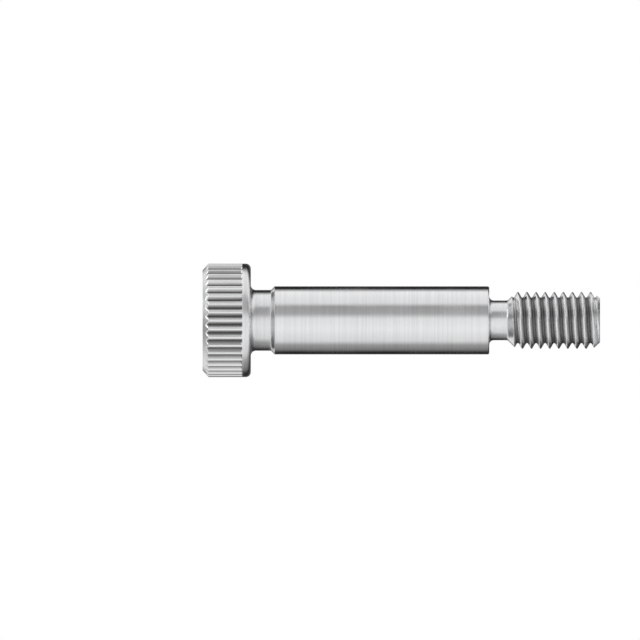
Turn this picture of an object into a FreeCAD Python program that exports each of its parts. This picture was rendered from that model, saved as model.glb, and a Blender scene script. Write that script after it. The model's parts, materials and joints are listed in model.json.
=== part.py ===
import FreeCAD, Part
import math
import os

# A shoulder bolt in one turned piece. It stands on the end of its thread with its head up.
# Sizes are millimetres. The axis is +Z, and the thread ends at z = 0.

# Head
head_diameter = 10.0
head_height = 4.25
head_top_chamfer_height = 0.52
head_top_chamfer_width = 0.6
head_underside_radius = 0.45

# Straight knurl round the head, above a plain band at the bearing face
plain_band_height = 0.75
knurl_grooves = 40
knurl_depth = 0.3
knurl_groove_angle = 90.0
knurl_runout = 0.12

# Hexagon socket with a shallow cone at the bottom
socket_across_flats = 3.0
socket_depth = 3.5
socket_cone_depth = 0.55

# Ground shoulder
shoulder_diameter = 6.0
shoulder_length = 21.0
shoulder_edge_break = 0.1

# Grinding relief between the head and the shoulder
neck_diameter = 5.35
neck_width = 2.1
neck_ramp_angle = 45.0
neck_fillet = 0.45
neck_ramp_fillet = 0.2

# Thread, plain here at its outside diameter, and the relief before it
thread_diameter = 5.0
thread_length = 9.75
thread_end_diameter = 3.9
thread_end_chamfer_height = 0.62
relief_diameter = 3.5
relief_width = 2.36
relief_ramp_angle = 45.0
relief_fillet = 0.4
relief_ramp_fillet = 0.3

# Heights of the faces that the other sizes start from
shoulder_end = thread_length
bearing_face = shoulder_end + shoulder_length
head_top = bearing_face + head_height

# How far a cutter stands out of the metal that it cuts
cutter_overrun = 0.5


def rounded_edges(corners):
    """Edges of an open outline in the XZ plane. A corner is (radius from the axis, height, rounding)."""
    points = [FreeCAD.Vector(x, 0, z) for x, z, rounding in corners]
    edges = []
    last = points[0]
    for index in range(1, len(points) - 1):
        corner = points[index]
        rounding = corners[index][2]
        back = points[index - 1] - corner
        ahead = points[index + 1] - corner
        if rounding > 0:
            half_angle = back.getAngle(ahead) / 2
            back.normalize()
            ahead.normalize()
            middle = back + ahead
            middle.normalize()
            reach = rounding / math.tan(half_angle)
            depth = rounding / math.sin(half_angle) - rounding
            start = corner + back * reach
            end = corner + ahead * reach
            edges.append(Part.LineSegment(last, start).toShape())
            edges.append(Part.Arc(start, corner + middle * depth, end).toShape())
            last = end
        else:
            edges.append(Part.LineSegment(last, corner).toShape())
            last = corner
    edges.append(Part.LineSegment(last, points[-1]).toShape())
    return edges


def ramp_height(large_diameter, small_diameter, angle):
    """Length along the axis of a cone between two diameters, at an angle to the axis."""
    return (large_diameter - small_diameter) / 2 / math.tan(math.radians(angle))


def turned_blank():
    """The whole bolt as it leaves the lathe, before the knurl and the socket."""
    head = head_diameter / 2
    shoulder = shoulder_diameter / 2
    neck = neck_diameter / 2
    thread = thread_diameter / 2
    relief = relief_diameter / 2
    neck_foot = bearing_face - neck_width
    neck_ramp = ramp_height(shoulder_diameter, neck_diameter, neck_ramp_angle)
    relief_foot = shoulder_end - relief_width
    relief_ramp = ramp_height(thread_diameter, relief_diameter, relief_ramp_angle)
    corners = [
        (0, 0, 0),
        (thread_end_diameter / 2, 0, 0),
        (thread, thread_end_chamfer_height, 0),
        (thread, relief_foot, 0),
        (relief, relief_foot + relief_ramp, relief_ramp_fillet),
        (relief, shoulder_end, relief_fillet),
        (shoulder - shoulder_edge_break, shoulder_end, 0),
        (shoulder, shoulder_end + shoulder_edge_break, 0),
        (shoulder, neck_foot, 0),
        (neck, neck_foot + neck_ramp, neck_ramp_fillet),
        (neck, bearing_face, neck_fillet),
        (head, bearing_face, head_underside_radius),
        (head, head_top - head_top_chamfer_height, 0),
        (head - head_top_chamfer_width, head_top, 0),
        (0, head_top, 0),
    ]
    edges = rounded_edges(corners)
    top = FreeCAD.Vector(0, 0, head_top)
    bottom = FreeCAD.Vector(0, 0, 0)
    edges.append(Part.LineSegment(top, bottom).toShape())
    section = Part.Face(Part.Wire(edges))
    return section.revolve(FreeCAD.Vector(0, 0, 0), FreeCAD.Vector(0, 0, 1), 360)


def knurl_cutters():
    """One V-shaped cutter for each groove. Its lower end slopes out to the plain band."""
    surface = head_diameter / 2
    root = surface - knurl_depth
    outside = surface + cutter_overrun
    half_width = (outside - root) * math.tan(math.radians(knurl_groove_angle / 2))
    low = bearing_face + plain_band_height
    slope = knurl_runout / knurl_depth
    foot = [
        FreeCAD.Vector(root, 0, low + knurl_runout),
        FreeCAD.Vector(outside, half_width, low - cutter_overrun * slope),
        FreeCAD.Vector(outside, -half_width, low - cutter_overrun * slope),
    ]
    above = head_top + cutter_overrun
    crown = [FreeCAD.Vector(point.x, point.y, above) for point in foot]
    faces = [
        Part.Face(Part.makePolygon(foot + [foot[0]])),
        Part.Face(Part.makePolygon(crown + [crown[0]])),
    ]
    for side in range(3):
        turn = (side + 1) % 3
        corners = [foot[side], foot[turn], crown[turn], crown[side], foot[side]]
        faces.append(Part.Face(Part.makePolygon(corners)))
    cutter = Part.Solid(Part.Shell(faces))
    cutters = []
    for groove in range(knurl_grooves):
        copy = cutter.copy()
        angle = (groove + 0.5) * 360 / knurl_grooves
        copy.rotate(FreeCAD.Vector(0, 0, 0), FreeCAD.Vector(0, 0, 1), angle)
        cutters.append(copy)
    return cutters


def socket_punch():
    """The hexagon, with two corners along X, ended by the cone of the drilled hole."""
    corner_radius = socket_across_flats / math.sqrt(3)
    floor = head_top - socket_depth
    tip = floor - socket_cone_depth
    height = head_top + cutter_overrun - tip
    corners = []
    for index in range(7):
        angle = math.radians(60 * index)
        corners.append(FreeCAD.Vector(corner_radius * math.cos(angle), corner_radius * math.sin(angle), tip))
    hexagon = Part.Face(Part.makePolygon(corners)).extrude(FreeCAD.Vector(0, 0, height))
    mouth_radius = corner_radius * height / socket_cone_depth
    cone = Part.makeCone(0, mouth_radius, height, FreeCAD.Vector(0, 0, tip))
    return hexagon.common(cone)


def shoulder_bolt():
    bolt = turned_blank().cut(knurl_cutters())
    return bolt.cut(socket_punch())


def main():
    os.makedirs("parts", exist_ok=True)
    bolt = shoulder_bolt()
    print("shoulder_bolt", "valid", bolt.isValid(), "solids", len(bolt.Solids), "volume", bolt.Volume)
    bolt.exportStep("parts/shoulder_bolt.step")


main()
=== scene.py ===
import bmesh
import bpy
import json
import math
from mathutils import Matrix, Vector


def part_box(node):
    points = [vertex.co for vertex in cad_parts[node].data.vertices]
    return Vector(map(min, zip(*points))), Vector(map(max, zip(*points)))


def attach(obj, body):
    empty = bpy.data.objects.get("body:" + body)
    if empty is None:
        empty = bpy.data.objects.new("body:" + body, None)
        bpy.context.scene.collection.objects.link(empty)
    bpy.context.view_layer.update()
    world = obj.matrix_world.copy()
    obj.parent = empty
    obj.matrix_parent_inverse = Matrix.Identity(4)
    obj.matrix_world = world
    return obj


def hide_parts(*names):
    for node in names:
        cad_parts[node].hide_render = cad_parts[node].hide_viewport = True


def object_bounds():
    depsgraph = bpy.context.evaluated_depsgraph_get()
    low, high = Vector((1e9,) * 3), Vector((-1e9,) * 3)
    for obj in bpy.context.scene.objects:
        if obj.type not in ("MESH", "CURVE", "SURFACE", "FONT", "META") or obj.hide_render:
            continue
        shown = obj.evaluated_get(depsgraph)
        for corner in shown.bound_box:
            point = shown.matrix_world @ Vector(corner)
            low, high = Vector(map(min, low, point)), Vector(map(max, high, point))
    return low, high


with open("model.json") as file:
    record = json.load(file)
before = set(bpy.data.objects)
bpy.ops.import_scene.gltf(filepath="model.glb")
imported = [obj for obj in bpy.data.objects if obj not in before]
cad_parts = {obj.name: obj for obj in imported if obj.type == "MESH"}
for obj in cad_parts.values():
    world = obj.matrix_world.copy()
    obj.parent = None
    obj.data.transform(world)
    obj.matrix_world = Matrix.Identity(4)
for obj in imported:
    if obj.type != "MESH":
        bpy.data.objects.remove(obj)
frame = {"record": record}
cadLow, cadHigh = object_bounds()
mm = 0.001

# Places that the solid bolt gives: its ends from its box, its faces from its mounts
mounts = {mount["name"]: mount for mount in frame["record"]["mounts"]}
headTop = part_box("shoulder_bolt")[1].z
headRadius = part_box("shoulder_bolt")[1].x
bearingFace = mounts["head_bearing_face"]["pos_m"][2]
shoulderEnd = mounts["shoulder_end_face"]["pos_m"][2]
shoulderRadius = mounts["shoulder"]["dims"]["r_mm"] * mm
threadRadius = mounts["thread"]["dims"]["r_mm"] * mm

head = {
    "plainBand": 0.75 * mm,  # from the bearing face up to the knurl
    "undersideRadius": 0.45 * mm,
    "topChamferHeight": 0.52 * mm,
    "topChamferWidth": 0.6 * mm,
    "edgeRadius": 0.05 * mm,
    "topRim": 0.1 * mm,  # from the chamfer in to the first ring of the top face
    "topRings": (3.456 * mm, 2.16 * mm),  # radii of the other rings on it
}
knurl = {
    "grooves": 40,
    "depth": 0.3 * mm,
    "halfAngle": math.radians(45),
    "runout": 0.12 * mm,  # height of the sloping lower end of a groove
    "crestRounding": 0.03 * mm,
    "rootRounding": 0.004,  # as a share of the head's radius
    "markedFrom": 0.02,  # a face cut deeper than this share of the depth is knurled
    "edgeColumns": (-0.05, 0, 0.04),  # columns beside the edge of a groove, in shares of a pitch
    "wallColumns": (0.34, 0.46),  # and down the wall of the groove, whose root is at half a pitch
    "lastPlainRow": 0.12 * mm,  # below the knurl, where the shank's columns end
    "firstFineRow": 0.06 * mm,  # below the knurl, where its own columns start
    "runoutRows": 4,
    "lowRows": 8,
    "chamferRows": 16,
}
socket = {
    "acrossFlats": 3.0 * mm,
    "depth": 3.5 * mm,  # at the corners
    "coneDepth": 0.55 * mm,
    "mouthChamfer": 0.07 * mm,
    "wallRows": 4,
    "floorRows": 6,
}
shank = {
    "edgeBreak": 0.1 * mm,
    "edgeRadius": 0.03 * mm,
    "neckRadius": 2.675 * mm,
    "neckWidth": 2.1 * mm,
    "neckFillet": 0.45 * mm,
    "neckRampFillet": 0.2 * mm,
    "reliefRadius": 1.75 * mm,
    "reliefWidth": 2.36 * mm,
    "reliefFillet": 0.4 * mm,
    "reliefRampFillet": 0.3 * mm,
}
rounded = {
    "fewBelow": 0.1 * mm,  # a radius smaller than this has few steps
    "fewSteps": 4,
    "manySteps": 8,
}
thread = {
    "pitch": 0.8 * mm,
    "rootRadius": 2.01 * mm,
    "crestFlat": 0.1 * mm,
    "flankAngle": math.radians(30),
    "crestRounding": 0.02 * mm,
    "rootRounding": 0.14 * mm,
    "endRadius": 1.95 * mm,
    "endChamferHeight": 0.62 * mm,
    "endEdge": 0.03 * mm,
    "endRim": 0.3 * mm,  # from the edge in to the first ring of the end face
    "endCentre": 0.1 * mm,  # radius of the smallest ring on it
    "topMargin": 0.15 * mm,  # from the relief down to where the thread starts
    "columns": 120,
    "rowsPerTurn": 24,
    "weld": 0.0001 * mm,  # spare points nearer than this are merged
}

# Heights and radii that follow from those sizes
knurlLow = bearingFace + head["plainBand"]
chamferLow = headTop - head["topChamferHeight"]
knurlRoot = headRadius - knurl["depth"]
socketTip = headTop - socket["depth"] - socket["coneDepth"]
neckFoot = bearingFace - shank["neckWidth"]
neckTop = neckFoot + shoulderRadius - shank["neckRadius"]  # the ramp leans 45 degrees
reliefFoot = shoulderEnd - shank["reliefWidth"]
reliefTop = reliefFoot + threadRadius - shank["reliefRadius"]  # and so does this one
threadLow = thread["endEdge"]  # the thread is cut between these two heights
threadHigh = reliefTop - thread["topMargin"]
endSlope = (threadRadius - thread["endRadius"]) / thread["endChamferHeight"]


# Node helpers for the finishes and the shapes
def mathNode(tree, operation, *values):
    node = tree.nodes.new("ShaderNodeMath")
    node.operation = operation
    for index, value in enumerate(values):
        if isinstance(value, bpy.types.NodeSocket):
            tree.links.new(value, node.inputs[index])
        else:
            node.inputs[index].default_value = value
    return node.outputs[0]


def axisRadius(tree, x, y):
    squares = mathNode(tree, "MULTIPLY_ADD", x, x, mathNode(tree, "MULTIPLY", y, y))
    return mathNode(tree, "SQRT", squares)


def spread(tree, value, fromLow, fromHigh, toLow, toHigh):
    node = tree.nodes.new("ShaderNodeMapRange")
    tree.links.new(value, node.inputs["Value"])
    node.inputs["From Min"].default_value = fromLow
    node.inputs["From Max"].default_value = fromHigh
    node.inputs["To Min"].default_value = toLow
    node.inputs["To Max"].default_value = toHigh
    return node.outputs[0]


def blendColors(tree, factor, first, second):
    node = tree.nodes.new("ShaderNodeMix")
    node.data_type = "RGBA"
    for index, value in ((0, factor), (6, first), (7, second)):
        if isinstance(value, bpy.types.NodeSocket):
            tree.links.new(value, node.inputs[index])
        else:
            node.inputs[index].default_value = value
    return node.outputs[2]


# Finishes: one bright steel, with the marks that each tool leaves on it.
# A grain gives how many marks there are to a metre along three directions.
steel = {
    "bright": (0.72, 0.725, 0.73, 1),
    "plain": (0.64, 0.645, 0.65, 1),
    "groove": (0.15, 0.146, 0.142, 1),  # painted shade in the grooves and the socket, with the oil and oxide that stay there
    "grooveDullness": 0.14,  # added to the roughness there
    "film": 0.07,  # how far a thin film of oil changes the roughness
    "filmGrain": (420, 420, 260),
    "markStrength": 0.5,
    "markNoise": (0.3, 0.7),  # the part of the noise that the roughness follows
    "shadeNoise": (0.25, 0.75),  # and the part that the colour follows
}


def newFinish(name):
    material = bpy.data.materials.new(name)
    material.use_nodes = True
    tree = material.node_tree
    shader = tree.nodes["Principled BSDF"]
    shader.inputs["Metallic"].default_value = 1.0
    place = tree.nodes.new("ShaderNodeTexCoord")
    split = tree.nodes.new("ShaderNodeSeparateXYZ")
    tree.links.new(place.outputs["Object"], split.inputs[0])
    return material, tree, shader, *split.outputs


# Noise that is stretched by its grain along each coordinate
def grain(tree, coordinates, density, detail=2.0):
    join = tree.nodes.new("ShaderNodeCombineXYZ")
    for index in range(3):
        scaled = mathNode(tree, "MULTIPLY", coordinates[index], density[index])
        tree.links.new(scaled, join.inputs[index])
    noise = tree.nodes.new("ShaderNodeTexNoise")
    noise.inputs["Scale"].default_value = 1.0
    noise.inputs["Detail"].default_value = detail
    tree.links.new(join.outputs[0], noise.inputs["Vector"])
    return noise.outputs["Fac"]


# A thin film of oil lies unevenly on the whole bolt
def filmShade(tree, x, y, z):
    film = grain(tree, (x, y, z), steel["filmGrain"])
    return spread(tree, film, *steel["markNoise"], -steel["film"], steel["film"])


# The colour drifts between the plain and the bright steel
def addShade(tree, shader, noise):
    share = spread(tree, noise, *steel["shadeNoise"], 0, 1)
    color = blendColors(tree, share, steel["plain"], steel["bright"])
    tree.links.new(color, shader.inputs["Base Color"])


def addMarks(tree, shader, marks, finish, dullness):
    roughness = spread(tree, marks, *steel["markNoise"], *finish["roughness"])
    tree.links.new(mathNode(tree, "ADD", roughness, dullness), shader.inputs["Roughness"])
    bump = tree.nodes.new("ShaderNodeBump")
    bump.inputs["Strength"].default_value = steel["markStrength"]
    bump.inputs["Distance"].default_value = finish["markDepth"]
    tree.links.new(marks, bump.inputs["Height"])
    tree.links.new(bump.outputs[0], shader.inputs["Normal"])


# Marks that run round the axis stretch a reflection across them
def stretchShine(tree, shader, x, y, amount):
    join = tree.nodes.new("ShaderNodeCombineXYZ")
    tree.links.new(mathNode(tree, "MULTIPLY", y, -1.0), join.inputs[0])
    tree.links.new(x, join.inputs[1])
    tree.links.new(join.outputs[0], shader.inputs["Tangent"])
    shader.inputs["Anisotropic"].default_value = amount
    shader.inputs["Anisotropic Rotation"].default_value = 0.25  # a quarter turn from the marks


# Darkens a groove with painted shade, with its oil and oxide, and dulls it, by the depth that the shape
# tree left on each point
def shadeGroove(tree, shader, shadeStart, film):
    depth = tree.nodes.new("ShaderNodeAttribute")
    depth.attribute_name = "grooveDepth"
    shade = spread(tree, depth.outputs["Fac"], shadeStart, 1, 0, 1)
    color = blendColors(tree, shade, steel["bright"], steel["groove"])
    tree.links.new(color, shader.inputs["Base Color"])
    return mathNode(tree, "MULTIPLY_ADD", shade, steel["grooveDullness"], film)


# The socket darkens towards its bottom
def shadeSocket(tree, shader, z):
    mouth = spread(tree, z, socketTip, headTop - socket["mouthChamfer"], 0, 1)
    color = blendColors(tree, mouth, steel["groove"], steel["plain"])
    tree.links.new(color, shader.inputs["Base Color"])


turned = {
    "shadeGrain": (3800, 3800, 90),
    "markGrain": (11000, 11000, 120),
    "markDepth": 0.006 * mm,
    "roughness": (0.21, 0.34),
    "stretch": 0.75,
}


def turnedFinish():
    material, tree, shader, x, y, z = newFinish("turnedSteel")
    radius = axisRadius(tree, x, y)
    addShade(tree, shader, grain(tree, (radius, z, y), turned["shadeGrain"]))
    marks = grain(tree, (radius, z, x), turned["markGrain"])
    addMarks(tree, shader, marks, turned, filmShade(tree, x, y, z))
    stretchShine(tree, shader, x, y, turned["stretch"])
    return material


ground = {
    "shadeGrain": (110, 110, 5200),
    "markGrain": (150, 150, 18000),
    "markDetail": 3.0,
    "markDepth": 0.002 * mm,
    "roughness": (0.15, 0.24),
    "stretch": 0.6,
}


def groundFinish():
    material, tree, shader, x, y, z = newFinish("groundSteel")
    addShade(tree, shader, grain(tree, (x, y, z), ground["shadeGrain"]))
    marks = grain(tree, (x, y, z), ground["markGrain"], ground["markDetail"])
    addMarks(tree, shader, marks, ground, filmShade(tree, x, y, z))
    stretchShine(tree, shader, x, y, ground["stretch"])
    return material


knurled = {
    "shadeStart": 0.15,  # share of a groove's depth at which it begins to darken
    "markGrain": (16000, 16000, 900),
    "markDepth": 0.004 * mm,
    "roughness": (0.2, 0.32),
}


def knurledFinish():
    material, tree, shader, x, y, z = newFinish("knurledSteel")
    dullness = shadeGroove(tree, shader, knurled["shadeStart"], filmShade(tree, x, y, z))
    addMarks(tree, shader, grain(tree, (x, y, z), knurled["markGrain"]), knurled, dullness)
    return material


rolled = {
    "shadeStart": 0.55,
    "markGrain": (14000, 5000, 200),
    "markDepth": 0.003 * mm,
    "roughness": (0.17, 0.29),
}


def rolledFinish():
    material, tree, shader, x, y, z = newFinish("rolledThread")
    dullness = shadeGroove(tree, shader, rolled["shadeStart"], filmShade(tree, x, y, z))
    marks = grain(tree, (axisRadius(tree, x, y), z, x), rolled["markGrain"])
    addMarks(tree, shader, marks, rolled, dullness)
    return material


broached = {
    "markGrain": (12000, 12000, 350),
    "markDepth": 0.006 * mm,
    "roughness": (0.3, 0.46),
}


def broachedFinish():
    material, tree, shader, x, y, z = newFinish("broachedSteel")
    shadeSocket(tree, shader, z)
    marks = grain(tree, (x, y, z), broached["markGrain"])
    addMarks(tree, shader, marks, broached, filmShade(tree, x, y, z))
    return material


drilled = {
    "markGrain": (9000, 300, 200),
    "markDepth": 0.012 * mm,
    "roughness": (0.26, 0.42),
}


def drilledFinish():
    material, tree, shader, x, y, z = newFinish("drilledSteel")
    shadeSocket(tree, shader, z)
    marks = grain(tree, (axisRadius(tree, x, y), z, x), drilled["markGrain"])
    addMarks(tree, shader, marks, drilled, filmShade(tree, x, y, z))
    return material


finishes = [
    turnedFinish(),
    groundFinish(),
    knurledFinish(),
    rolledFinish(),
    broachedFinish(),
    drilledFinish(),
]
slotOf = {finish.name: slot for slot, finish in enumerate(finishes)}
print("finishes made:", ", ".join(slotOf))


# The bolt's own texture map. Across it runs round the axis and up it runs along the outline, so the
# tools' marks lie level on it.
mapName = "OFBake"
mapStrips = {  # left, right, low and high edge of each finish's strip on it
    "knurledSteel": (0, 1, 0.004, 0.1),
    "broachedSteel": (0, 1, 0.106, 0.15),
    "groundSteel": (0.004, 0.331, 0.156, 0.996),
    "rolledThread": (0.337, 0.663, 0.156, 0.996),
    "turnedSteel": (0.669, 0.996, 0.16, 0.924),
    "drilledSteel": (0.669, 0.996, 0.93, 0.996),
}
# The length of outline laid on each strip so far, and the faces on it
strips = {finish: {"length": 0.0, "faces": []} for finish in mapStrips}


def placeOnMap(finish, share, along):
    left, right, low, high = mapStrips[finish]
    return left + (right - left) * share, low + (high - low) * along


# Shape trees
def newShapeTree(name, inputs):
    tree = bpy.data.node_groups.new(name, "GeometryNodeTree")
    tree.interface.new_socket(name="Geometry", in_out="INPUT", socket_type="NodeSocketGeometry")
    tree.interface.new_socket(name="Geometry", in_out="OUTPUT", socket_type="NodeSocketGeometry")
    for inputName, value in inputs.items():
        kind = "NodeSocketInt" if isinstance(value, int) else "NodeSocketFloat"
        tree.interface.new_socket(name=inputName, in_out="INPUT", socket_type=kind)
    given = tree.nodes.new("NodeGroupInput").outputs
    return tree, given


def positionParts(tree):
    position = tree.nodes.new("GeometryNodeInputPosition")
    split = tree.nodes.new("ShaderNodeSeparateXYZ")
    tree.links.new(position.outputs[0], split.inputs[0])
    return split.outputs


def storeValue(tree, geometry, name, kind, domain, value):
    store = tree.nodes.new("GeometryNodeStoreNamedAttribute")
    store.data_type = kind
    store.domain = domain
    store.inputs["Name"].default_value = name
    tree.links.new(geometry, store.inputs["Geometry"])
    tree.links.new(value, store.inputs["Value"])
    return store.outputs[0]


# Leaves a number on each point for the finish, from 0 on the surface to 1 at the root of a groove
def storeDepth(tree, geometry, grooveDepth):
    return storeValue(tree, geometry, "grooveDepth", "FLOAT", "POINT", grooveDepth)


# Moves the points of a mesh to a radius, an angle and a height
def placeAround(tree, geometry, radius, angle, height):
    join = tree.nodes.new("ShaderNodeCombineXYZ")
    tree.links.new(mathNode(tree, "MULTIPLY", radius, mathNode(tree, "COSINE", angle)), join.inputs[0])
    tree.links.new(mathNode(tree, "MULTIPLY", radius, mathNode(tree, "SINE", angle)), join.inputs[1])
    tree.links.new(height, join.inputs[2])
    move = tree.nodes.new("GeometryNodeSetPosition")
    tree.links.new(geometry, move.inputs["Geometry"])
    tree.links.new(join.outputs[0], move.inputs["Position"])
    return move.outputs[0]


def endTree(tree, geometry, material, selection=None):
    realize = tree.nodes.new("GeometryNodeRealizeInstances")
    paint = tree.nodes.new("GeometryNodeSetMaterial")
    output = tree.nodes.new("NodeGroupOutput")
    paint.inputs["Material"].default_value = material
    tree.links.new(geometry, realize.inputs[0])
    tree.links.new(realize.outputs[0], paint.inputs["Geometry"])
    if selection is not None:
        tree.links.new(selection, paint.inputs["Selection"])
    tree.links.new(paint.outputs[0], output.inputs[0])


# Sets the named inputs of a tree on a thing, and gives back the plain mesh
def shapedMesh(thing, tree, inputs):
    modifier = thing.modifiers.new(tree.name, "NODES")
    modifier.node_group = tree
    for plug in tree.interface.items_tree:
        if plug.in_out == "INPUT" and plug.name in inputs:
            modifier[plug.identifier] = inputs[plug.name]
    bpy.context.view_layer.update()
    evaluated = thing.evaluated_get(bpy.context.evaluated_depsgraph_get())
    mesh = bpy.data.meshes.new_from_object(evaluated)
    thing.modifiers.remove(modifier)
    return mesh


# Presses V grooves into the side of a round head. A point keeps its place where no groove reaches.
knurlInputs = {
    "Grooves": knurl["grooves"],
    "Root radius": knurlRoot,
    "Wall slope": 1 / math.tan(knurl["halfAngle"]),
    "Root rounding": knurl["rootRounding"],
    "Crest rounding": knurl["crestRounding"],
    "Surface radius": headRadius,
    "Depth": knurl["depth"],
    "Lower end": knurlLow,
    "Runout slope": knurl["depth"] / knurl["runout"],
    "Chamfer start": chamferLow,
    "Marked from": knurl["markedFrom"],
}


def knurlTree():
    tree, given = newShapeTree("knurlRolls", knurlInputs)
    x, y, z = positionParts(tree)
    radius = axisRadius(tree, x, y)
    angle = mathNode(tree, "ARCTAN2", y, x)
    pitch = mathNode(tree, "DIVIDE", 2 * math.pi, given["Grooves"])
    pitches = mathNode(tree, "ADD", mathNode(tree, "DIVIDE", angle, pitch), 100.0)  # never negative
    along = mathNode(tree, "FRACT", pitches)
    fromRoot = mathNode(tree, "MULTIPLY", mathNode(tree, "SUBTRACT", along, 0.5), pitch)
    sine = mathNode(tree, "SINE", fromRoot)
    rounding = given["Root rounding"]
    inside = mathNode(tree, "MULTIPLY_ADD", sine, sine, mathNode(tree, "MULTIPLY", rounding, rounding))
    offset = mathNode(tree, "SUBTRACT", mathNode(tree, "SQRT", inside), rounding)
    wall = mathNode(tree, "MULTIPLY", offset, given["Wall slope"])
    share = mathNode(tree, "SUBTRACT", mathNode(tree, "COSINE", fromRoot), wall)
    groove = mathNode(tree, "DIVIDE", given["Root radius"], share)
    above = mathNode(tree, "SUBTRACT", z, given["Lower end"])
    ending = mathNode(tree, "MULTIPLY", above, given["Runout slope"])
    runout = mathNode(tree, "SUBTRACT", given["Surface radius"], ending)
    floor = mathNode(tree, "MAXIMUM", groove, runout)
    pressed = mathNode(tree, "SMOOTH_MIN", radius, floor, given["Crest rounding"])
    cut = mathNode(tree, "DIVIDE", mathNode(tree, "SUBTRACT", radius, pressed), given["Depth"])
    marked = storeDepth(tree, given["Geometry"], cut)
    moved = placeAround(tree, marked, pressed, angle, z)
    # The knurled zone and every groove get the knurl's finish, and the rest keeps its own
    depth = tree.nodes.new("GeometryNodeInputNamedAttribute")
    depth.data_type = "FLOAT"
    depth.inputs["Name"].default_value = "grooveDepth"
    inGroove = mathNode(tree, "GREATER_THAN", depth.outputs[0], given["Marked from"])
    aboveEnd = mathNode(tree, "GREATER_THAN", z, given["Lower end"])
    belowChamfer = mathNode(tree, "LESS_THAN", z, given["Chamfer start"])
    outside = mathNode(tree, "GREATER_THAN", radius, given["Root radius"])
    inZone = mathNode(tree, "MULTIPLY", mathNode(tree, "MULTIPLY", aboveEnd, belowChamfer), outside)
    chosen = mathNode(tree, "MAXIMUM", inGroove, inZone)
    endTree(tree, moved, finishes[slotOf["knurledSteel"]], chosen)
    return tree


# Rolls a helix from a flat grid: across it runs one turn, and along it runs the thread.
# The height is cut off at both ends, so the spare rows fall together there and are merged.
threadInputs = {
    "Columns": thread["columns"],
    "Rows per turn": thread["rowsPerTurn"],
    "Pitch": thread["pitch"],
    "Outside radius": threadRadius,
    "Depth": threadRadius - thread["rootRadius"],
    "Half crest": thread["crestFlat"] / 2,
    "Flank slope": 1 / math.tan(thread["flankAngle"]),
    "Crest rounding": thread["crestRounding"],
    "Root rounding": thread["rootRounding"],
    "Bottom": threadLow,
    "Top": threadHigh,
    "End radius": thread["endRadius"],
    "End slope": endSlope,
    "Relief radius": shank["reliefRadius"],
    "Relief height": reliefTop,
    "Weld": thread["weld"],
}


def threadTree():
    tree, given = newShapeTree("threadRolls", threadInputs)
    pitch = given["Pitch"]
    length = mathNode(tree, "SUBTRACT", given["Top"], given["Bottom"])
    turns = mathNode(tree, "ADD", mathNode(tree, "CEIL", mathNode(tree, "DIVIDE", length, pitch)), 1.0)
    grid = tree.nodes.new("GeometryNodeMeshGrid")
    rows = mathNode(tree, "MULTIPLY_ADD", turns, given["Rows per turn"], 1.0)
    tree.links.new(mathNode(tree, "ADD", given["Columns"], 1.0), grid.inputs["Vertices X"])
    tree.links.new(rows, grid.inputs["Vertices Y"])
    x, y = positionParts(tree)[:2]
    across = mathNode(tree, "ADD", x, 0.5)
    along = mathNode(tree, "MULTIPLY", mathNode(tree, "ADD", y, 0.5), turns)
    climb = mathNode(tree, "SUBTRACT", mathNode(tree, "ADD", along, across), 1.0)
    height = mathNode(tree, "ADD", mathNode(tree, "MULTIPLY", climb, pitch), given["Bottom"])
    height = mathNode(tree, "MAXIMUM", height, given["Bottom"])
    height = mathNode(tree, "MINIMUM", height, given["Top"])
    # How far each point is from the middle of the crest, and so how deep
    halfPitch = mathNode(tree, "DIVIDE", pitch, 2.0)
    fromCrest = mathNode(tree, "PINGPONG", mathNode(tree, "MULTIPLY", along, pitch), halfPitch)
    fromFlat = mathNode(tree, "SUBTRACT", fromCrest, given["Half crest"])
    flank = mathNode(tree, "MULTIPLY", fromFlat, given["Flank slope"])
    depth = mathNode(tree, "SMOOTH_MAX", flank, 0.0, given["Crest rounding"])
    depth = mathNode(tree, "SMOOTH_MIN", depth, given["Depth"], given["Root rounding"])
    radius = mathNode(tree, "SUBTRACT", given["Outside radius"], depth)
    # The chamfer at the end and the ramp of the relief cut into the crests
    chamfer = mathNode(tree, "MULTIPLY_ADD", height, given["End slope"], given["End radius"])
    belowRelief = mathNode(tree, "SUBTRACT", given["Relief height"], height)
    ramp = mathNode(tree, "ADD", belowRelief, given["Relief radius"])
    blank = mathNode(tree, "MINIMUM", chamfer, ramp)
    radius = mathNode(tree, "SMOOTH_MIN", radius, blank, given["Crest rounding"])
    blank = mathNode(tree, "MINIMUM", blank, given["Outside radius"])
    cut = mathNode(tree, "DIVIDE", mathNode(tree, "SUBTRACT", blank, radius), given["Depth"])
    mapped = storeValue(tree, grid.outputs["Mesh"], mapName, "FLOAT2", "CORNER", grid.outputs["UV Map"])
    marked = storeDepth(tree, mapped, cut)
    angle = mathNode(tree, "MULTIPLY", across, 2 * math.pi)
    moved = placeAround(tree, marked, radius, angle, height)
    merge = tree.nodes.new("GeometryNodeMergeByDistance")
    tree.links.new(given["Weld"], merge.inputs["Distance"])
    tree.links.new(moved, merge.inputs["Geometry"])
    endTree(tree, merge.outputs[0], finishes[slotOf["rolledThread"]])
    return tree


# The turned blank. Its columns on the head stand on the edges and the roots of the grooves.
def knurlAngles():
    slope = 1 / math.tan(knurl["halfAngle"])
    halfGroove = math.acos(knurlRoot / headRadius / math.hypot(1, slope)) - math.atan(slope)
    pitch = 2 * math.pi / knurl["grooves"]
    edge = 0.5 - halfGroove / pitch
    half = [0, *(edge + step for step in knurl["edgeColumns"]), *knurl["wallColumns"]]
    shares = half + [0.5] + [1 - share for share in half[:0:-1]]
    return [(groove + share) * pitch for groove in range(knurl["grooves"]) for share in shares]


fineAngles = knurlAngles()
coarseAngles = [2 * math.pi * column / thread["columns"] for column in range(thread["columns"])]


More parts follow.
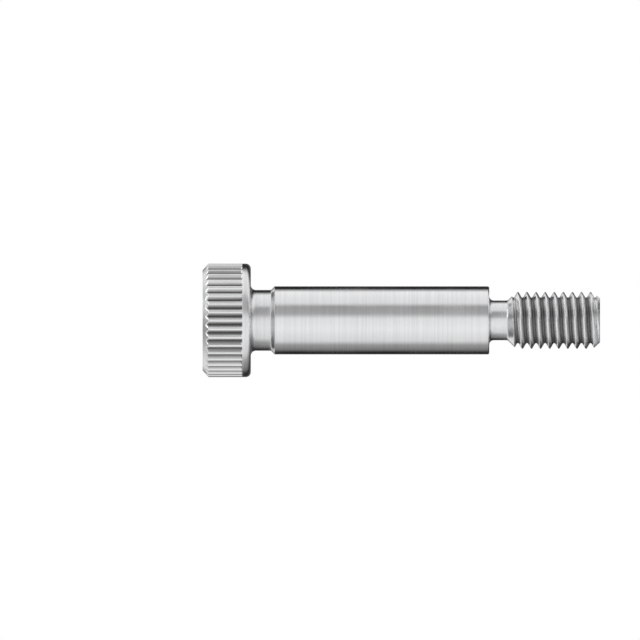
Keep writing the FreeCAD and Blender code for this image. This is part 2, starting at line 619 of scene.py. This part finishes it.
# Rows along an outline of corners, each with a radius, a height, a rounding and the finish above it
def outlineRows(corners):
    rows = []
    for index, (radius, height, rounding, finish) in enumerate(corners):
        if rounding == 0:
            rows.append((radius, height, finish))
            continue
        corner = Vector((radius, height, 0))
        back = (Vector((*corners[index - 1][:2], 0)) - corner).normalized()
        ahead = (Vector((*corners[index + 1][:2], 0)) - corner).normalized()
        halfAngle = back.angle(ahead) / 2
        centre = corner + (back + ahead).normalized() * (rounding / math.sin(halfAngle))
        start = (corner + back * (rounding / math.tan(halfAngle)) - centre).normalized()
        end = (corner + ahead * (rounding / math.tan(halfAngle)) - centre).normalized()
        steps = rounded["fewSteps" if rounding < rounded["fewBelow"] else "manySteps"]
        for step in range(steps + 1):
            point = centre + start.slerp(end, step / steps) * rounding
            rows.append((point.x, point.y, finish))
    return rows


def roundRing(mesh, radius, height, angles):
    points = [(radius * math.cos(angle), radius * math.sin(angle), height) for angle in angles]
    return [mesh.verts.new(point) for point in points]


# A face of a finish, with the share of the turn and the length of outline at each of its corners
def addFace(mesh, points, finish, strip, corners):
    layer = mesh.loops.layers.uv[mapName]
    face = mesh.faces.new(points)
    face.material_index = slotOf[finish]
    strips[strip]["faces"].append(face)
    for loop, corner in zip(face.loops, corners):
        loop[layer].uv = corner


# Joins two rings with faces. One of them may have a whole multiple of the other's points.
def joinRings(mesh, lower, upper, finish):
    count = min(len(lower), len(upper))
    lowSteps = len(lower) // count
    highSteps = len(upper) // count
    strip = "knurledSteel" if count == len(fineAngles) else finish  # the knurl's rows share its strip
    start = strips[strip]["length"]
    end = start + (upper[0].co - lower[0].co).length
    strips[strip]["length"] = end
    for index in range(count):
        lowPlaces = range(index * lowSteps, (index + 1) * lowSteps + 1)
        highPlaces = range((index + 1) * highSteps, index * highSteps - 1, -1)
        points = [lower[place % len(lower)] for place in lowPlaces]
        points += [upper[place % len(upper)] for place in highPlaces]
        corners = [(place / len(lower), start) for place in lowPlaces]
        corners += [(place / len(upper), end) for place in highPlaces]
        addFace(mesh, points, finish, strip, corners)


def joinRows(mesh, ring, rows, angles):
    finish = rows[0][2]
    for radius, height, nextFinish in rows:
        following = roundRing(mesh, radius, height, angles)
        joinRings(mesh, ring, following, finish)
        ring = following
        finish = nextFinish
    return ring


# Closes a ring with a fan. The outline ends at its centre or, with fromCentre, starts there.
def closeRing(mesh, ring, height, finish, fromCentre=False):
    centre = mesh.verts.new((0, 0, height))
    start = strips[finish]["length"]
    end = start + (ring[0].co - centre.co).length
    strips[finish]["length"] = end
    if fromCentre:
        start, end = end, start
    count = len(ring)
    for place in range(count):
        points = (ring[place], ring[(place + 1) % count], centre)
        corners = ((place / count, start), ((place + 1) / count, start), ((place + 0.5) / count, end))
        addFace(mesh, points, finish, finish, corners)


def shankRows():
    edge = shank["edgeRadius"]
    bevel = shank["edgeBreak"]
    rampRadius = threadRadius - (threadHigh - reliefFoot)
    return outlineRows([
        (rampRadius, threadHigh, 0, "turnedSteel"),
        (shank["reliefRadius"], reliefTop, shank["reliefRampFillet"], "turnedSteel"),
        (shank["reliefRadius"], shoulderEnd, shank["reliefFillet"], "turnedSteel"),
        (shoulderRadius - bevel, shoulderEnd, edge, "turnedSteel"),
        (shoulderRadius, shoulderEnd + bevel, edge, "groundSteel"),
        (shoulderRadius, neckFoot, edge, "turnedSteel"),
        (shank["neckRadius"], neckTop, shank["neckRampFillet"], "turnedSteel"),
        (shank["neckRadius"], bearingFace, shank["neckFillet"], "turnedSteel"),
        (headRadius, bearingFace, head["undersideRadius"], "turnedSteel"),
        (headRadius, knurlLow - knurl["lastPlainRow"], 0, "turnedSteel"),
    ])


# Fine rows at the lower ends of the grooves and on the chamfer, where the grooves run out
def headRows():
    finish = "turnedSteel"
    lowest = knurlLow - knurl["firstFineRow"]
    heights = [lowest + knurl["runout"] * row / knurl["runoutRows"] for row in range(knurl["lowRows"])]
    sideRows = [(headRadius, height, finish) for height in heights]
    chamferInner = headRadius - head["topChamferWidth"]
    corners = [
        (headRadius, heights[-1], 0, finish),
        (headRadius, chamferLow, head["edgeRadius"], finish),
        (chamferInner, headTop, head["edgeRadius"], finish),
        (chamferInner - head["topRim"], headTop, 0, finish),
    ]
    rows = outlineRows(corners)[1:]
    edgeRows = rounded["fewSteps"] + 1
    start = Vector(rows[edgeRows - 1][:2])
    end = Vector(rows[edgeRows][:2])
    between = []
    for row in range(1, knurl["chamferRows"]):
        point = start.lerp(end, row / knurl["chamferRows"])
        between.append((point.x, point.y, finish))
    return sideRows + rows[:edgeRows] + between + rows[edgeRows:]


# The hexagon is one more ring whose radius changes with the angle
def hexRing(mesh, share, heightAt):
    ring = []
    for angle in coarseAngles:
        flat = socket["acrossFlats"] / 2 / math.cos(angle % (math.pi / 3) - math.pi / 6)
        radius = share * flat
        point = (radius * math.cos(angle), radius * math.sin(angle), heightAt(radius))
        ring.append(mesh.verts.new(point))
    return ring


def cutSocket(mesh, ring):
    apothem = socket["acrossFlats"] / 2
    slope = socket["coneDepth"] / (apothem / math.cos(math.pi / 6))
    mouthShare = 1 + socket["mouthChamfer"] / apothem
    edgeHeight = headTop - socket["mouthChamfer"]

    def floorAt(radius):
        return socketTip + slope * radius

    following = hexRing(mesh, mouthShare, lambda radius: headTop)
    joinRings(mesh, ring, following, "turnedSteel")
    ring = following
    for row in range(socket["wallRows"] + 1):
        fall = row / socket["wallRows"]
        following = hexRing(mesh, 1, lambda radius: edgeHeight + (floorAt(radius) - edgeHeight) * fall)
        joinRings(mesh, ring, following, "broachedSteel")
        ring = following
    for row in range(1, socket["floorRows"]):
        share = 1 - row / socket["floorRows"]
        following = hexRing(mesh, share, floorAt)
        joinRings(mesh, ring, following, "drilledSteel")
        ring = following
    closeRing(mesh, ring, socketTip, "drilledSteel")


def blankMesh():
    mesh = bmesh.new()
    layer = mesh.loops.layers.uv.new(mapName)
    endRows = outlineRows([
        (thread["endCentre"], 0, 0, "turnedSteel"),
        (thread["endRadius"] - thread["endRim"], 0, 0, "turnedSteel"),
        (thread["endRadius"], 0, thread["endEdge"], "turnedSteel"),
        (thread["endRadius"] + endSlope * threadLow, threadLow, 0, "turnedSteel"),
    ])
    ring = roundRing(mesh, *endRows[0][:2], coarseAngles)
    closeRing(mesh, ring, 0, "turnedSteel", True)
    joinRows(mesh, ring, endRows[1:], coarseAngles)
    rows = shankRows()
    ring = roundRing(mesh, *rows[0][:2], coarseAngles)
    ring = joinRows(mesh, ring, rows[1:], coarseAngles)
    ring = joinRows(mesh, ring, headRows(), fineAngles)
    topRows = [(radius, headTop, "turnedSteel") for radius in head["topRings"]]
    ring = joinRows(mesh, ring, topRows, coarseAngles)
    cutSocket(mesh, ring)
    for finish, strip in strips.items():
        for face in strip["faces"]:
            for loop in face.loops:
                share, along = loop[layer].uv
                loop[layer].uv = placeOnMap(finish, share, along / strip["length"])
    blank = bpy.data.meshes.new("boltBlank")
    mesh.to_mesh(blank)
    mesh.free()
    for finish in finishes:
        blank.materials.append(finish)
    return blank


def newObject(name, mesh):
    thing = bpy.data.objects.new(name, mesh)
    bpy.context.scene.collection.objects.link(thing)
    return thing


seams = {
    "weld": 0.0005 * mm,  # where the thread meets the blank, points nearer than this become one
    "sharpFrom": math.radians(40),  # an edge that turns more than this stays sharp
}


def makeBolt():
    bolt = newObject("knurledShoulderBolt", blankMesh())
    print("blank turned:", len(bolt.data.polygons), "faces")
    knurledMesh = shapedMesh(bolt, knurlTree(), knurlInputs)
    threaded = shapedMesh(bolt, threadTree(), threadInputs)
    for face in threaded.polygons:
        face.material_index = slotOf["rolledThread"]
    for corner in threaded.uv_layers[mapName].uv:
        corner.vector = placeOnMap("rolledThread", *corner.vector)
    print("knurl and thread rolled:", len(threaded.polygons), "faces in the thread")
    whole = bmesh.new()
    whole.from_mesh(knurledMesh)
    whole.from_mesh(threaded)
    bmesh.ops.remove_doubles(whole, verts=whole.verts, dist=seams["weld"])
    bmesh.ops.recalc_face_normals(whole, faces=whole.faces)
    for face in whole.faces:
        face.smooth = True
    for edge in whole.edges:
        edge.smooth = edge.calc_face_angle(0) < seams["sharpFrom"]
    openEdges = sum(len(edge.link_faces) != 2 for edge in whole.edges)
    print("open edges:", openEdges, "volume in mm3:", whole.calc_volume() / mm ** 3)
    whole.to_mesh(knurledMesh)
    whole.free()
    bolt.data = knurledMesh
    shading = bolt.modifiers.new("evenShading", "WEIGHTED_NORMAL")
    shading.keep_sharp = True
    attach(bolt, "root")
    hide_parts("shoulder_bolt")


makeBolt()


# Studio: a white surround. The metal alone also sees lighter and darker sides, which give it its bands.
studio = {
    "floorColor": (0.9, 0.9, 0.9, 1),
    "floorRadius": 50 * mm,
    "floorCorners": 96,
    "floorFade": (14 * mm, 44 * mm),
    "fill": 0.6,
    "openSky": (0.15, 0.45),  # between these heights of a direction the surround turns white
    "zenith": (0.7, 0.95, 0.4),  # and between these it turns to this shade
    # The shade at each angle round the bolt, in degrees from the camera's side
    "sides": [
        (-180, 0.14), (-168, 0.13), (-154, 0.02), (-136, 0.02), (-118, 0.25), (-92, 0.42),
        (-74, 0.95), (-30, 1.15), (6, 1.05), (22, 0.5), (48, 0.42), (60, 1.0),
        (112, 1.2), (124, 0.55), (134, 0.02), (154, 0.02), (168, 0.13), (180, 0.14),
    ],
    # Place and size in metres, radiance, and whether the metal shows the lamp
    "lamps": {
        "keyLamp": ((0.13, -0.11, 0.3), 0.26, 1.7, True),
        "topLamp": ((-0.05, 0.05, 0.35), 0.3, 1.1, False),
    },
}


def sideShade(tree, x, y):
    angle = mathNode(tree, "ARCTAN2", x, mathNode(tree, "MULTIPLY", y, -1.0))
    share = spread(tree, angle, -math.pi, math.pi, 0, 1)
    ramp = tree.nodes.new("ShaderNodeValToRGB")
    stops = ramp.color_ramp.elements
    while len(stops) < len(studio["sides"]):
        stops.new(0.5)
    for stop, (degrees, shade) in zip(stops, studio["sides"]):
        stop.position = degrees / 360 + 0.5
        stop.color = (shade, shade, shade, 1)
    tree.links.new(share, ramp.inputs[0])
    return ramp.outputs[0]


def makeFloor():
    mesh = bmesh.new()
    corners = studio["floorCorners"]
    bmesh.ops.create_circle(mesh, cap_ends=True, segments=corners, radius=studio["floorRadius"])
    data = bpy.data.meshes.new("floor")
    mesh.to_mesh(data)
    mesh.free()
    floor = newObject("floor", data)
    material = bpy.data.materials.new("paleFloor")
    material.use_nodes = True
    tree = material.node_tree
    shader = tree.nodes["Principled BSDF"]
    shader.inputs["Roughness"].default_value = 1.0
    shader.inputs["Specular IOR Level"].default_value = 0.0
    place = tree.nodes.new("ShaderNodeTexCoord")
    split = tree.nodes.new("ShaderNodeSeparateXYZ")
    tree.links.new(place.outputs["Object"], split.inputs[0])
    rays = tree.nodes.new("ShaderNodeLightPath")
    # Seen in the metal, the floor takes the surround's lighter and darker sides: a painted reflection
    inMetal = sideShade(tree, split.outputs[0], split.outputs[1])
    color = blendColors(tree, rays.outputs["Is Glossy Ray"], studio["floorColor"], inMetal)
    tree.links.new(color, shader.inputs["Base Color"])
    distance = axisRadius(tree, split.outputs[0], split.outputs[1])
    tree.links.new(spread(tree, distance, *studio["floorFade"], 1, 0), shader.inputs["Alpha"])
    data.materials.append(material)


def makeWorld():
    world = bpy.data.worlds.new("studio")
    bpy.context.scene.world = world
    world.use_nodes = True
    tree = world.node_tree
    tree.nodes.clear()
    output = tree.nodes.new("ShaderNodeOutputWorld")
    place = tree.nodes.new("ShaderNodeTexCoord")
    split = tree.nodes.new("ShaderNodeSeparateXYZ")
    tree.links.new(place.outputs["Generated"], split.inputs[0])
    rays = tree.nodes.new("ShaderNodeLightPath")
    upward = split.outputs[2]
    zenithLow, zenithHigh, zenithShade = studio["zenith"]
    sky = spread(tree, upward, zenithLow, zenithHigh, 1, zenithShade)
    openness = spread(tree, upward, *studio["openSky"], 0, 1)
    inMetal = blendColors(tree, openness, sideShade(tree, split.outputs[0], split.outputs[1]), sky)
    seen = mathNode(tree, "MAXIMUM", rays.outputs["Is Camera Ray"], rays.outputs["Is Glossy Ray"])
    seen = mathNode(tree, "MAXIMUM", seen, rays.outputs["Is Transmission Ray"])
    background = tree.nodes.new("ShaderNodeBackground")
    color = blendColors(tree, rays.outputs["Is Glossy Ray"], (1, 1, 1, 1), inMetal)
    tree.links.new(color, background.inputs[0])
    tree.links.new(spread(tree, seen, 0, 1, studio["fill"], 1), background.inputs[1])
    tree.links.new(background.outputs[0], output.inputs[0])


# A square lamp, as bright as white where its radiance is 1
def makeLamp(name, aim, place, size, radiance, inMetal):
    light = bpy.data.lights.new(name, "AREA")
    light.shape = "SQUARE"
    light.size = size
    light.energy = radiance * math.pi * size ** 2
    lamp = newObject(name, light)
    lamp.visible_glossy = inMetal
    lamp.location = place
    lamp.rotation_euler = (Vector(aim) - Vector(place)).to_track_quat("-Z", "Y").to_euler()


middle = (0, 0, (cadLow.z + cadHigh.z) / 2)
makeFloor()
makeWorld()
for name, settings in studio["lamps"].items():
    makeLamp(name, middle, *settings)
print("studio set")


# Camera: the drawing's side view, level with the bolt and turned so that its head is at the left
picture = {
    "width": 640,  # in pixels, as are the next three
    "headFaceX": 202.57,
    "threadEndX": 600.0,
    "axisY": 320.36,
    "turn": (math.radians(90), math.radians(90), 0),
    "distance": 0.4,  # in metres
    "clip": (0.001, 10),
}


def makeCamera():
    pixelsPerMetre = (picture["threadEndX"] - picture["headFaceX"]) / (headTop - cadLow.z)
    data = bpy.data.cameras.new("drawingView")
    data.type = "ORTHO"
    data.ortho_scale = picture["width"] / pixelsPerMetre
    data.clip_start, data.clip_end = picture["clip"]
    camera = newObject("drawingView", data)
    half = picture["width"] / 2
    height = headTop - (half - picture["headFaceX"]) / pixelsPerMetre
    side = (picture["axisY"] - half) / pixelsPerMetre
    camera.location = (side, -picture["distance"], height)
    camera.rotation_euler = picture["turn"]
    bpy.context.scene.camera = camera


makeCamera()
bpy.context.scene.view_settings.view_transform = "Standard"
